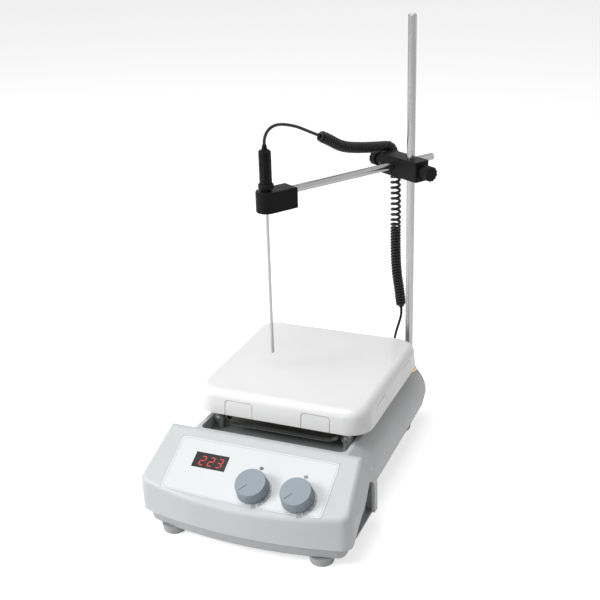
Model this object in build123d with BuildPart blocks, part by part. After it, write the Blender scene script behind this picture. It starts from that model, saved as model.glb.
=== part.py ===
# Hotplate magnetic stirrer with a square plate, a support rod and a clamped temperature probe.
# Millimetres. Origin on the floor under the middle of the plate: +X right, +Y back, +Z up.
import os
from math import cos, pi, radians, sin, tan

from build123d import *

os.makedirs("parts", exist_ok=True)

# Clearances
running = 0.05
seat_gap = 0.2
panel_gap = 0.3

# Hot plate
plate_width = 184.0
plate_corner = 23.5
plate_top = 112.0
plate_height = 24.5
plate_draft = 5.0
plate_edge_radius = 8.5
cover_wall = 2.6
tab_width = 30.0
tab_height = 16.0
tab_pitch = 81.0
tab_slot = 0.6
tab_corner = 4.0
frame_sheet = 1.2
frame_height = 17.0
core_width = 158.0
core_thickness = 9.0
element_thickness = 1.2
insulation_thickness = 6.0
post_x = 68.0
post_y = 77.0
post_radius = 4.5
post_collar_radius = 6.2
tray_half_width = 61.0
tray_half_depth = 88.0
tray_height = 5.0
tray_corner = 12.0
sheet = 0.8

# Housing
wall = 3.0
parting_z = 22.0
front_half = 107.5
front_mid_y = -192.0
front_side_y = -178.5
front_corner = 13.0
block_back_y = -104.0
lean_start_z = 50.0
lean_top_half = 99.0
panel_tilt = 28.0
panel_foot_y = -182.8
panel_foot_z = 53.6
panel_crest_y = -119.0
panel_edge_radius = 6.0
rear_y = 118.0
rear_corner = 7.0
deck_z = 65.0
deck_thickness = 2.5
pocket_half = 76.0
pocket_front_y = -107.0
pocket_rear_y = 93.0
ledge = 3.5
grip_front_y = -174.0
grip_top_z = 60.0
grip_rear_y = -112.0

# Base
floor_z = 8.0
base_inset = 5.5
base_front_inset = 2.0
base_draft = 14.0
base_front_back_y = -97.0
base_middle_half = 70.0
base_rear_front_y = 58.0
base_rear_half = 86.0
foot_radius = 12.0
foot_front = (76.0, -170.0)
foot_rear = (70.0, 90.0)
column_radius = 4.5
column_front = (80.0, -119.0)
column_rear = (75.0, 72.0)
screw_radius = 2.0
screw_head_radius = 3.6
screw_head_height = 2.4
screw_length = 20.0

# Front panel
overlay_half = 81.0
overlay_length = 58.0
overlay_bow = 3.0
overlay_corner = 4.0
overlay_thickness = 0.5
window_centre = (-42.7, 35.2)
window_size = (34.6, 16.6)
window_thickness = 1.6
knob_xs = {"heat": 9.2, "stir": 53.8}
knob_s = 15.5
knob_radius = 15.8
knob_top_radius = 14.8
knob_height = 12.0
knob_lift = 0.8
knob_flutes = 36
knob_shaft_radius = 3.0
indicator_s = 38.1
indicator_radius = 1.8
indicator_stretch = 1.2
board_drop = 16.0
board_half = 86.0
board_length = 50.0
board_thickness = 1.6
board_boss_radius = 3.0
board_screw_radius = 1.4
board_screw_reach = 7.0
encoder_size = 14.0
encoder_height = 9.0
bush_radius = 4.5

# Stirring drive
dome_radius = 52.0
dome_top = 74.0
dome_wall = 2.0
motor_radius = 29.0
motor_height = 24.0
bracket_size = (116.0, 74.0)
bracket_thickness = 2.0
bracket_top = 54.0
bracket_hole_x = 50.0
bracket_hole_y = 30.0
spacer_radius = 4.0
drive_shaft_radius = 2.5
carrier_size = (84.0, 20.0, 4.0)
carrier_z = 58.5
magnet_radius = 9.0
magnet_height = 8.0
magnet_x = 31.0

# Rear panel
inlet_x = -52.0
inlet_z = 41.0
inlet_flange = (30.0, 25.0)
inlet_cut = (27.0, 20.0)
inlet_depth = 20.0
inlet_recess = (24.0, 16.5)
switch_x = -12.0
switch_frame_size = (28.0, 21.0)
switch_cut = (24.0, 17.0)
rocker_size = (19.6, 12.6)
rocker_tilt = 7.0
socket_x = 38.0
socket_z = 44.0
socket_radius = 8.0
plug_radius = 7.0
plug_length = 20.0
plug_boot_length = 8.0

# Stand
rod_x = 74.7
rod_y = 104.6
rod_radius = 4.25
rod_top = 452.0
rod_foot_z = 48.0
rod_spigot_radius = 3.5
rod_shoulder_z = 69.0
bush_flange_radius = 9.0
bush_flange = 2.0

# Clamp head, arm and probe, laid out along the arm: t to the back, w to the left of the rod
arm_azimuth = 31.8
clamp_z = 296.8
boss_right = -17.5
boss_left = 38.0
boss_half_depth = 9.0
boss_height = 21.0
arm_w = 20.0
arm_radius = 3.9
arm_front_t = -160.0
arm_rear_t = 48.0
thumb_stem_radius = 3.0
thumb_neck_radius = 5.5
thumb_radius = 7.6
thumb_length = 8.0
thumb_neck_length = 12.2
probe_t = -166.7
holder_half_width = 10.5
holder_height = 21.0
holder_back_t = -137.0
holder_drop = 5.8
needle_radius = 1.5
needle_tip_z = 130.0
handle_radius = 5.7
handle_length = 33.0
collar_radius = 7.6
collar_height = 7.0
boot_radius = 3.0
boot_length = 5.0

# Sensor cord
cord_radius = 1.5
coil_radius = 6.0
coil_hang_w = 44.0
coil_hang_t = 17.3

tilt = radians(panel_tilt)
azimuth = radians(arm_azimuth)
panel = Plane(
    origin=(0, panel_foot_y, panel_foot_z), x_dir=(1, 0, 0), z_dir=(0, -sin(tilt), cos(tilt))
)
clamp = Plane(
    origin=(rod_x, rod_y, clamp_z), x_dir=(sin(azimuth), cos(azimuth), 0), z_dir=(0, 0, 1)
)
boss_right_face = Plane(
    origin=clamp.from_local_coords((0, boss_right, 0)), x_dir=clamp.x_dir, z_dir=-clamp.y_dir
)
boss_left_face = Plane(
    origin=clamp.from_local_coords((0, boss_left, 0)), x_dir=clamp.x_dir, z_dir=clamp.y_dir
)
arm_plane = Plane(
    origin=clamp.from_local_coords((0, arm_w, 0)), x_dir=clamp.y_dir, z_dir=clamp.x_dir
)
rear_panel = Plane(origin=(0, rear_y, 0), x_dir=(-1, 0, 0), z_dir=(0, 1, 0))

panel_crest_z = panel_foot_z + (panel_crest_y - panel_foot_y) * tan(tilt)
skirt_z = plate_top - plate_height
core_top = plate_top - cover_wall
core_bottom = core_top - core_thickness
element_bottom = core_bottom - element_thickness
insulation_bottom = element_bottom - insulation_thickness
ledge_z = deck_z - deck_thickness
ledge_under = ledge_z - wall
pan_floor = floor_z + wall
front_column_top = (
    panel_foot_z + (column_front[1] - column_radius - panel_foot_y) * tan(tilt) - wall / cos(tilt)
)
post_points = [(x, y) for x in (-post_x, post_x) for y in (-post_y, post_y)]
column_points = [
    (side * x, y) for x, y in (column_front, column_rear) for side in (-1, 1)
]
bracket_points = [
    (x, y) for x in (-bracket_hole_x, bracket_hole_x) for y in (-bracket_hole_y, bracket_hole_y)
]
board_points = [
    (x, s) for x in (-board_half + 6, board_half - 6) for s in (6.0, board_length - 2)
]


def save(piece, name):
    piece.part.label = name
    export_step(piece.part, f"parts/{name}.step")


# The front block's plan: straight sides, a bowed front and rounded front corners.
def front_plan(side_inset, front_inset, back_y, corner):
    half = front_half - side_inset
    with BuildSketch() as plan:
        with BuildLine():
            bow = ThreePointArc(
                (-half, front_side_y + front_inset),
                (0, front_mid_y + front_inset),
                (half, front_side_y + front_inset),
            )
            Polyline(bow @ 1, (half, back_y), (-half, back_y), bow @ 0)
        make_face()
        fillet(plan.vertices().sort_by(Axis.Y)[:2], corner)
    return plan.sketch


# The control block: plan, side profile and front profile meet in one body.
def front_block(inset, low_z, back_y):
    drop = inset / cos(tilt)
    far = panel_foot_y - 40
    with BuildPart() as block:
        with BuildSketch(Plane.XY.offset(low_z)):
            add(front_plan(inset, inset, back_y, front_corner - inset))
        extrude(amount=plate_top)
        with BuildSketch(Plane.YZ):
            with BuildLine():
                Polyline(
                    (far, low_z),
                    (far, panel_foot_z - drop + (far - panel_foot_y) * tan(tilt)),
                    (panel_crest_y, panel_crest_z - drop),
                    (panel_crest_y + 9 - inset, deck_z),
                    (back_y, deck_z - inset),
                    (back_y, low_z),
                    close=True,
                )
            make_face()
        extrude(amount=2 * front_half, both=True, mode=Mode.INTERSECT)
        with BuildSketch(Plane.XZ):
            with BuildLine():
                Polyline(
                    (-front_half + inset, low_z),
                    (front_half - inset, low_z),
                    (front_half - inset, lean_start_z),
                    (lean_top_half - inset, panel_crest_z + 1),
                    (inset - lean_top_half, panel_crest_z + 1),
                    (inset - front_half, lean_start_z),
                    close=True,
                )
            make_face()
        extrude(amount=3 * front_half, both=True, mode=Mode.INTERSECT)
    return block.part


# The body under the plate: a loft between two cross-sections with rounded shoulders.
def rear_body(inset, low_z, top_limit):
    sections = (
        (block_back_y - 10, 92.0, 95.0, 40.0, 92.5, 62.0, 80.0, 78.0),
        (rear_y - inset, 89.0, 92.5, 38.0, 89.5, 54.0, 79.0, 67.0),
    )
    with BuildPart() as body:
        for y, foot, ridge, ridge_z, mid, mid_z, crown, crown_z in sections:
            with BuildSketch(Plane.XZ.offset(-y)):
                with BuildLine():
                    Line((inset - foot, low_z), (foot - inset, low_z))
                    Line((foot - inset, low_z), (ridge - inset, ridge_z))
                    ThreePointArc(
                        (ridge - inset, ridge_z), (mid - inset, mid_z),
                        (crown - inset, min(crown_z - inset, top_limit)),
                    )
                    Line(
                        (crown - inset, min(crown_z - inset, top_limit)),
                        (inset - crown, min(crown_z - inset, top_limit)),
                    )
                    ThreePointArc(
                        (inset - crown, min(crown_z - inset, top_limit)),
                        (inset - mid, mid_z), (inset - ridge, ridge_z),
                    )
                    Line((inset - ridge, ridge_z), (inset - foot, low_z))
                make_face()
        loft()
    return body.part


# The scoop in the side of the control block, where fingers reach under it.
def grip_profile(inset):
    with BuildSketch() as profile:
        with BuildLine():
            rise = ThreePointArc(
                (grip_front_y + inset, parting_z - 1),
                (grip_front_y + 22 + inset, parting_z + 17 - inset),
                (grip_rear_y - 8, grip_top_z - inset),
            )
            Polyline(
                rise @ 1, (grip_rear_y - inset, grip_top_z - 5 - inset),
                (grip_rear_y - inset, parting_z - 1), rise @ 0,
            )
        make_face()
    return profile.sketch


with BuildPart() as upper_housing:
    add(front_block(0, parting_z, block_back_y))
    face = upper_housing.faces().sort_by(lambda f: abs(f.normal_at().Z - cos(tilt)))[0]
    fillet(face.edges(), panel_edge_radius)
    add(rear_body(0, parting_z, plate_top))
    rear_face = upper_housing.faces().filter_by(Axis.Y).sort_by(Axis.Y)[-1]
    fillet(rear_face.edges().filter_by(lambda e: e.center().Z > parting_z + 1), rear_corner)
    add(front_block(wall, parting_z - 1, block_back_y - wall), mode=Mode.SUBTRACT)
    with BuildSketch(Plane.XY.offset(parting_z - 1)):
        with Locations((0, (block_back_y + rear_y) / 2 - 6)):
            Rectangle(2 * (88.5 - wall), rear_y - block_back_y + 12 - 2 * wall)
    extrude(amount=ledge_under - parting_z + 1, mode=Mode.SUBTRACT)
    with BuildSketch(Plane.XY.offset(ledge_z)):
        with Locations((0, (pocket_front_y + pocket_rear_y) / 2)):
            RectangleRounded(2 * pocket_half, pocket_rear_y - pocket_front_y, 6)
    extrude(amount=plate_top, mode=Mode.SUBTRACT)
    with BuildSketch(Plane.XY.offset(ledge_under - 1)):
        with Locations((0, (pocket_front_y + pocket_rear_y) / 2)):
            Rectangle(2 * (pocket_half - ledge), pocket_rear_y - pocket_front_y - 2 * ledge)
    extrude(amount=wall + 2, mode=Mode.SUBTRACT)
    for side in (-1, 1):
        with BuildSketch(Plane.YZ.offset(side * (front_half - wall - 2))):
            add(grip_profile(0))
        extrude(amount=side * (wall + 6), mode=Mode.SUBTRACT)
    # Recess and openings of the sloping panel
    with BuildSketch(panel.offset(-panel_gap)):
        with BuildLine():
            hem = ThreePointArc(
                (-overlay_half - seat_gap, -seat_gap), (0, -overlay_bow - seat_gap),
                (overlay_half + seat_gap, -seat_gap),
            )
            Polyline(
                hem @ 1, (overlay_half + seat_gap, overlay_length + seat_gap),
                (-overlay_half - seat_gap, overlay_length + seat_gap), hem @ 0,
            )
        make_face()
    extrude(amount=2, mode=Mode.SUBTRACT)
    with BuildSketch(panel):
        with Locations(window_centre):
            Rectangle(window_size[0] + 2 * seat_gap, window_size[1] + 2 * seat_gap)
        for x in knob_xs.values():
            with Locations((x, knob_s)):
                Circle(bush_radius + running)
            with Locations((x, indicator_s)):
                Ellipse(indicator_radius * indicator_stretch + running, indicator_radius + running)
    extrude(amount=-2 * wall, mode=Mode.SUBTRACT)
    # Bosses for the control board and columns for the base screws
    with BuildSketch(panel.offset(-wall + 0.5)):
        with Locations(*board_points):
            Circle(board_boss_radius)
    extrude(amount=-(board_drop - wall + 0.5))
    with BuildSketch(panel.offset(-board_drop)):
        with Locations(*board_points):
            Circle(board_screw_radius + running)
    extrude(amount=board_screw_reach, mode=Mode.SUBTRACT)
    with BuildSketch(Plane.XY.offset(pan_floor)):
        with Locations(*column_points[:2]):
            Circle(column_radius)
    extrude(amount=front_column_top - pan_floor)
    with BuildSketch(Plane.XY.offset(pan_floor)):
        with Locations(*column_points[2:]):
            Circle(column_radius)
    extrude(amount=ledge_under - pan_floor + 0.5)
    with BuildSketch(Plane.XY.offset(pan_floor)):
        with Locations(*column_points):
            Circle(screw_radius + running)
    extrude(amount=screw_length, mode=Mode.SUBTRACT)
    # Rear openings and the seat of the rod bush
    with BuildSketch(rear_panel):
        with Locations((-inlet_x, inlet_z)):
            Rectangle(inlet_cut[0] + 2 * running, inlet_cut[1] + 2 * running)
        with Locations((-switch_x, inlet_z)):
            Rectangle(switch_cut[0] + 2 * running, switch_cut[1] + 2 * running)
        with Locations((-socket_x, socket_z)):
            Circle(socket_radius - 2 + running)
    extrude(amount=-3 * wall, mode=Mode.SUBTRACT)
    with BuildSketch(Plane.XY.offset(ledge_under - 12)):
        with Locations((rod_x, rod_y)):
            Circle(bush_flange_radius + 1)
    extrude(amount=14)
    with BuildSketch(Plane.XY.offset(rod_shoulder_z - bush_flange)):
        with Locations((rod_x, rod_y)):
            Circle(bush_flange_radius + seat_gap)
    extrude(amount=20, mode=Mode.SUBTRACT)
    with BuildSketch(Plane.XY.offset(ledge_under - 14)):
        with Locations((rod_x, rod_y)):
            Circle(6 + running)
    extrude(amount=30, mode=Mode.SUBTRACT)
save(upper_housing, "upper_housing")


# One storey of the base: front block, waist and rear block.
def base_storey(inset, low_z, high_z, round_edges):
    with BuildPart() as storey:
        with BuildSketch(Plane.XY.offset(high_z)):
            add(front_plan(base_inset + inset, base_front_inset + inset,
                           base_front_back_y - inset, front_corner - 1))
        extrude(amount=low_z - high_z, taper=base_draft)
        with BuildSketch(Plane.XY.offset(high_z)):
            with Locations((0, (base_rear_front_y + rear_y) / 2 - 1.5)):
                RectangleRounded(
                    2 * (base_rear_half - inset), rear_y - base_rear_front_y - 3 - 2 * inset, 8
                )
        extrude(amount=low_z - high_z, taper=base_draft)
        if round_edges:
            rims = storey.faces().group_by(Axis.Z)[0].edges()
            fillet(rims, 4)
        with BuildSketch(Plane.XY.offset(high_z)):
            with Locations((0, (base_front_back_y + base_rear_front_y) / 2)):
                Rectangle(
                    2 * (base_middle_half - inset),
                    base_rear_front_y - base_front_back_y + 24,
                )
        extrude(amount=low_z - high_z)
    return storey.part


with BuildPart() as base_pan:
    add(base_storey(0, floor_z, parting_z, True))
    # The rim that closes the housing from below
    with BuildSketch(Plane.XY.offset(parting_z - 1.5)):
        add(front_plan(wall + seat_gap, wall + seat_gap, block_back_y - wall - seat_gap,
                       front_corner - wall))
        with Locations((0, (block_back_y + rear_y) / 2)):
            Rectangle(2 * (88.5 - wall - seat_gap), rear_y - block_back_y - 2 * wall - 2 * seat_gap)
    extrude(amount=1.5)
    for side in (-1, 1):
        with BuildSketch(Plane.YZ.offset(side * (front_half - base_inset - wall - 3))):
            add(grip_profile(1))
        extrude(amount=side * wall)
    add(base_storey(wall, pan_floor, parting_z + 0.01, False), mode=Mode.SUBTRACT)
    with BuildSketch(Plane.XY.offset(floor_z - 1)):
        with Locations(*column_points):
            Circle(screw_radius + 4 * running)
    extrude(amount=wall + 2, mode=Mode.SUBTRACT)
save(base_pan, "base_pan")

# Four rubber feet
for name, (x, y) in {
    "foot_front_left": (-foot_front[0], foot_front[1]),
    "foot_front_right": foot_front,
    "foot_rear_left": (-foot_rear[0], foot_rear[1]),
    "foot_rear_right": foot_rear,
}.items():
    with BuildPart() as foot:
        with BuildSketch(Plane.XY.offset(floor_z)):
            with Locations((x, y)):
                Circle(foot_radius)
        extrude(amount=-floor_z, taper=6)
        fillet(foot.edges().group_by(Axis.Z)[0], 1.5)
    save(foot, name)

with BuildPart() as base_screws:
    with BuildSketch(Plane.XY.offset(floor_z)):
        with Locations(*column_points):
            Circle(screw_head_radius)
    extrude(amount=-screw_head_height)
    with BuildSketch(Plane.XY.offset(floor_z)):
        with Locations(*column_points):
            Circle(screw_radius)
    extrude(amount=screw_length - 2)
save(base_screws, "base_screws")

# Deck under the plate, with a dome over the turning magnets
with BuildPart() as deck:
    with BuildSketch(Plane.XY.offset(ledge_z)):
        with Locations((0, (pocket_front_y + pocket_rear_y) / 2)):
            RectangleRounded(
                2 * (pocket_half - panel_gap), pocket_rear_y - pocket_front_y - 2 * panel_gap, 5.7
            )
    extrude(amount=deck_thickness)
    with BuildSketch(Plane.XY.offset(ledge_z)):
        Circle(dome_radius)
    extrude(amount=dome_top - ledge_z)
    fillet(deck.edges().filter_by(GeomType.CIRCLE).sort_by(Axis.Z)[-1], 2)
    with BuildSketch(Plane.XY.offset(ledge_z)):
        Circle(dome_radius - dome_wall)
    extrude(amount=dome_top - ledge_z - dome_wall, mode=Mode.SUBTRACT)
    # Spacers for the motor bracket hang from the deck
    with BuildSketch(Plane.XY.offset(bracket_top)):
        with Locations(*bracket_points):
            Circle(spacer_radius)
    extrude(amount=ledge_z - bracket_top + 1)
    with BuildSketch(Plane.XY.offset(ledge_z - 1)):
        Circle(dome_radius - dome_wall)
    extrude(amount=1, mode=Mode.SUBTRACT)
    with BuildSketch(Plane.XY.offset(bracket_top)):
        with Locations(*bracket_points):
            Circle(screw_radius + running)
    extrude(amount=ledge_z - bracket_top - 1, mode=Mode.SUBTRACT)
    with BuildSketch(Plane.XY.offset(ledge_z)):
        with Locations(*post_points):
            Circle(screw_radius + seat_gap)
    extrude(amount=deck_thickness, mode=Mode.SUBTRACT)
save(deck, "deck")

# Stirring motor on its bracket
with BuildPart() as motor_bracket:
    with BuildSketch(Plane.XY.offset(bracket_top - bracket_thickness)):
        RectangleRounded(*bracket_size, 8)
        Circle(8 + seat_gap, mode=Mode.SUBTRACT)
        with Locations(*bracket_points):
            Circle(screw_radius + seat_gap, mode=Mode.SUBTRACT)
    extrude(amount=bracket_thickness)
save(motor_bracket, "motor_bracket")

with BuildPart() as bracket_screws:
    with BuildSketch(Plane.XY.offset(bracket_top - bracket_thickness)):
        with Locations(*bracket_points):
            Circle(screw_head_radius)
    extrude(amount=-screw_head_height)
    with BuildSketch(Plane.XY.offset(bracket_top - bracket_thickness)):
        with Locations(*bracket_points):
            Circle(screw_radius)
    extrude(amount=8)
save(bracket_screws, "bracket_screws")

motor_top = bracket_top - bracket_thickness
with BuildPart() as motor:
    with BuildSketch(Plane.XY.offset(motor_top)):
        Circle(motor_radius)
    extrude(amount=-motor_height)
    fillet(motor.edges().group_by(Axis.Z)[0], 3)
    with BuildSketch(Plane.XY.offset(motor_top)):
        Circle(8)
    extrude(amount=bracket_thickness + 1)
    with BuildSketch(Plane.XY.offset(motor_top - motor_height / 2)):
        Circle(drive_shaft_radius + running)
    extrude(amount=motor_height, mode=Mode.SUBTRACT)
save(motor, "motor")

with BuildPart() as drive_shaft:
    with BuildSketch(Plane.XY.offset(motor_top - motor_height / 2 + seat_gap)):
        Circle(drive_shaft_radius)
    extrude(amount=carrier_z + carrier_size[2] - motor_top + motor_height / 2 - seat_gap)
save(drive_shaft, "drive_shaft")

with BuildPart() as magnet_carrier:
    with BuildSketch(Plane.XY.offset(carrier_z)):
        SlotOverall(carrier_size[0], carrier_size[1])
        Circle(drive_shaft_radius, mode=Mode.SUBTRACT)
    extrude(amount=carrier_size[2])
    with BuildSketch(Plane.XY.offset(carrier_z + carrier_size[2])):
        Circle(6)
    extrude(amount=2)
save(magnet_carrier, "magnet_carrier")

with BuildPart() as magnets:
    with BuildSketch(Plane.XY.offset(carrier_z + carrier_size[2])):
        with Locations((-magnet_x, 0), (magnet_x, 0)):
            Circle(magnet_radius)
    extrude(amount=magnet_height)
save(magnets, "magnets")

# Plate assembly: posts, tray, insulation, element, core and cover
with BuildPart() as plate_posts:
    with BuildSketch(Plane.XY.offset(deck_z)):
        with Locations(*post_points):
            Circle(post_radius)
    extrude(amount=core_bottom - deck_z)
    with BuildSketch(Plane.XY.offset(dome_top)):
        with Locations(*post_points):
            Circle(post_collar_radius)
    extrude(amount=3)
    with BuildSketch(Plane.XY.offset(deck_z)):
        with Locations(*post_points):
            Circle(screw_radius + running)
    extrude(amount=10, mode=Mode.SUBTRACT)
save(plate_posts, "plate_posts")

with BuildPart() as post_screws:
    with BuildSketch(Plane.XY.offset(ledge_z)):
        with Locations(*post_points):
            Circle(screw_head_radius)
    extrude(amount=-screw_head_height)
    with BuildSketch(Plane.XY.offset(ledge_z)):
        with Locations(*post_points):
            Circle(screw_radius)
    extrude(amount=deck_thickness + 9)
save(post_screws, "post_screws")

with BuildPart() as heat_shield:
    with BuildSketch(Plane.XY.offset(dome_top)):
        RectangleRounded(2 * tray_half_width, 2 * tray_half_depth, tray_corner)
    extrude(amount=tray_height)
    fillet(heat_shield.edges().group_by(Axis.Z)[0], 2)
    with BuildSketch(Plane.XY.offset(dome_top + sheet)):
        RectangleRounded(
            2 * (tray_half_width - sheet), 2 * (tray_half_depth - sheet), tray_corner - sheet
        )
    extrude(amount=tray_height, mode=Mode.SUBTRACT)
save(heat_shield, "heat_shield")

with BuildPart() as insulation:
    with BuildSketch(Plane.XY.offset(insulation_bottom)):
        RectangleRounded(core_width, core_width, plate_corner - 8)
        with Locations(*post_points):
            Circle(post_radius + seat_gap, mode=Mode.SUBTRACT)
    extrude(amount=insulation_thickness)
save(insulation, "insulation")

with BuildPart() as heating_element:
    with BuildSketch(Plane.XY.offset(element_bottom)):
        RectangleRounded(core_width - 8, core_width - 8, plate_corner - 10)
        with Locations(*post_points):
            Circle(post_radius + seat_gap, mode=Mode.SUBTRACT)
    extrude(amount=element_thickness)
save(heating_element, "heating_element")

with BuildPart() as plate_core:
    with BuildSketch(Plane.XY.offset(core_bottom)):
        RectangleRounded(core_width, core_width, plate_corner - 8)
    extrude(amount=core_thickness)
    with BuildSketch(Plane.XZ.offset(-core_width / 2)):
        with Locations((0, core_bottom + core_thickness / 2)):
            Circle(2.5 + running)
    extrude(amount=60, mode=Mode.SUBTRACT)
save(plate_core, "plate_core")

with BuildPart() as plate_sensor:
    with BuildSketch(Plane.XZ.offset(-core_width / 2 - 3)):
        with Locations((0, core_bottom + core_thickness / 2)):
            Circle(2.5)
    extrude(amount=58)
save(plate_sensor, "plate_sensor")

# The cover's outer or inner form: a drafted square with round corners.
def cover_form(inset, height):
    with BuildPart() as form:
        with BuildSketch(Plane.XY.offset(skirt_z)):
            RectangleRounded(
                plate_width - 2 * inset, plate_width - 2 * inset, plate_corner - inset
            )
        extrude(amount=height, taper=plate_draft)
    return form.part


# Blocks through the skirt, two to a side, where the frame's tongues show.
def tongue_blocks(gap):
    with BuildPart() as blocks:
        for quarter in range(4):
            turn = radians(90 * quarter)
            out = (sin(turn), -cos(turn), 0)
            side = Plane(
                origin=(plate_width / 2 * out[0], plate_width / 2 * out[1], skirt_z),
                x_dir=(cos(turn), sin(turn), 0),
                z_dir=out,
            )
            with BuildSketch(side):
                with Locations((-tab_pitch / 2, 0), (tab_pitch / 2, 0)):
                    RectangleRounded(
                        tab_width - 2 * gap, 2 * (tab_height - gap), tab_corner - gap
                    )
            extrude(amount=-2 * cover_wall)
    return blocks.part


with BuildPart() as plate_cover:
    add(cover_form(0, plate_height))
    fillet(plate_cover.faces().sort_by(Axis.Z)[-1].edges(), plate_edge_radius)
    add(cover_form(cover_wall, plate_height - cover_wall), mode=Mode.SUBTRACT)
    add(tongue_blocks(0), mode=Mode.SUBTRACT)
save(plate_cover, "plate_cover")

# Sheet frame inside the skirt; its tongues lie in the skirt's notches
with BuildPart() as plate_frame:
    add(tongue_blocks(tab_slot))
    add(cover_form(0, plate_height - cover_wall), mode=Mode.INTERSECT)
    add(cover_form(cover_wall + seat_gap, frame_height))
    add(cover_form(cover_wall + seat_gap + frame_sheet, plate_height), mode=Mode.SUBTRACT)
save(plate_frame, "plate_frame")

# Front panel pieces
with BuildPart() as panel_overlay:
    with BuildSketch(panel.offset(-panel_gap)):
        with BuildLine():
            hem = ThreePointArc(
                (-overlay_half, 0), (0, -overlay_bow), (overlay_half, 0)
            )
            Polyline(
                hem @ 1, (overlay_half, overlay_length), (-overlay_half, overlay_length), hem @ 0
            )
        make_face()
        with Locations(window_centre):
            Rectangle(*window_size, mode=Mode.SUBTRACT)
        for x in knob_xs.values():
            with Locations((x, knob_s)):
                Circle(bush_radius + seat_gap, mode=Mode.SUBTRACT)
            with Locations((x, indicator_s)):
                Ellipse(
                    indicator_radius * indicator_stretch, indicator_radius, mode=Mode.SUBTRACT
                )
    extrude(amount=overlay_thickness)
    uprights = panel_overlay.edges().filter_by(Axis(panel.origin, panel.z_dir)).sort_by(Axis.X)
    fillet(uprights[:2] + uprights[-2:], overlay_corner)
save(panel_overlay, "panel_overlay")

with BuildPart() as display_window:
    with BuildSketch(panel.offset(-window_thickness)):
        with Locations(window_centre):
            Rectangle(window_size[0] - 2 * running, window_size[1] - 2 * running)
    extrude(amount=window_thickness)
save(display_window, "display_window")

with BuildPart() as display_module:
    with BuildSketch(panel.offset(-board_drop)):
        with Locations(window_centre):
            Rectangle(window_size[0] - 1, window_size[1] - 1)
    extrude(amount=board_drop - window_thickness - seat_gap)
save(display_module, "display_module")

for name, x in knob_xs.items():
    with BuildPart() as indicator:
        with BuildSketch(panel.offset(-board_drop)):
            with Locations((x, indicator_s)):
                Circle(indicator_radius - seat_gap)
        extrude(amount=board_drop - wall)
        with BuildSketch(panel.offset(-wall)):
            with Locations((x, indicator_s)):
                Ellipse(
                    indicator_radius * indicator_stretch - running, indicator_radius - running
                )
        extrude(amount=wall + 0.5)
    save(indicator, f"{name}_indicator")

    with BuildPart() as encoder:
        with BuildSketch(panel.offset(-board_drop)):
            with Locations((x, knob_s)):
                RectangleRounded(encoder_size, encoder_size, 1)
        extrude(amount=encoder_height)
        with BuildSketch(panel.offset(-board_drop + encoder_height)):
            with Locations((x, knob_s)):
                Circle(bush_radius)
        extrude(amount=board_drop - encoder_height)
        with BuildSketch(panel.offset(-board_drop + 2)):
            with Locations((x, knob_s)):
                Circle(knob_shaft_radius + running)
        extrude(amount=board_drop, mode=Mode.SUBTRACT)
    save(encoder, f"{name}_encoder")

    with BuildPart() as shaft:
        with BuildSketch(panel.offset(-board_drop + 2 + seat_gap)):
            with Locations((x, knob_s)):
                Circle(knob_shaft_radius)
        extrude(amount=board_drop - 2 - seat_gap + knob_lift + knob_height - 4)
    save(shaft, f"{name}_knob_shaft")

    # The knob: a fluted skirt that narrows to a flat disc, with a fine pointer groove
    with BuildPart() as knob:
        with BuildSketch(panel.offset(knob_lift)):
            with Locations((x, knob_s)):
                Circle(knob_radius)
                with PolarLocations(knob_radius + 0.35, knob_flutes):
                    Circle(0.75, mode=Mode.SUBTRACT)
        extrude(amount=knob_height - 1.5, taper=4)
        with BuildSketch(panel.offset(knob_lift + knob_height - 1.5)):
            with Locations((x, knob_s)):
                Circle(knob_top_radius)
        extrude(amount=1.5, taper=20)
        with BuildSketch(panel.offset(knob_lift)):
            with Locations((x, knob_s)):
                Circle(knob_shaft_radius)
        extrude(amount=knob_height - 4, mode=Mode.SUBTRACT)
    save(knob, f"{name}_knob")

with BuildPart() as control_board:
    with BuildSketch(panel.offset(-board_drop)):
        with Locations((0, board_length / 2 + 2)):
            Rectangle(2 * board_half, board_length)
        with Locations(*board_points):
            Circle(board_screw_radius + seat_gap, mode=Mode.SUBTRACT)
    extrude(amount=-board_thickness)
save(control_board, "control_board")

with BuildPart() as board_screws:
    with BuildSketch(panel.offset(-board_drop - board_thickness)):
        with Locations(*board_points):
            Circle(2 * board_screw_radius)
    extrude(amount=-2)
    with BuildSketch(panel.offset(-board_drop - board_thickness)):
        with Locations(*board_points):
            Circle(board_screw_radius)
    extrude(amount=board_thickness + board_screw_reach - 1)
save(board_screws, "board_screws")

# Power board on four pillars of the base, with its transformer
power_centre = (0.0, -60.0)
power_points = [(x, power_centre[1] + y) for x in (-50, 50) for y in (-24, 24)]
pillar_height = 6.0
with BuildPart() as power_board:
    with BuildSketch(Plane.XY.offset(pan_floor + pillar_height)):
        with Locations(power_centre):
            Rectangle(116, 58)
    extrude(amount=board_thickness)
save(power_board, "power_board")

with BuildPart() as power_pillars:
    with BuildSketch(Plane.XY.offset(pan_floor)):
        with Locations(*power_points):
            RegularPolygon(3, 6)
    extrude(amount=pillar_height)
save(power_pillars, "power_pillars")

with BuildPart() as transformer:
    with BuildSketch(Plane.XY.offset(pan_floor + pillar_height + board_thickness)):
        with Locations((28, power_centre[1])):
            RectangleRounded(38, 34, 2)
    extrude(amount=20)
save(transformer, "transformer")

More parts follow.
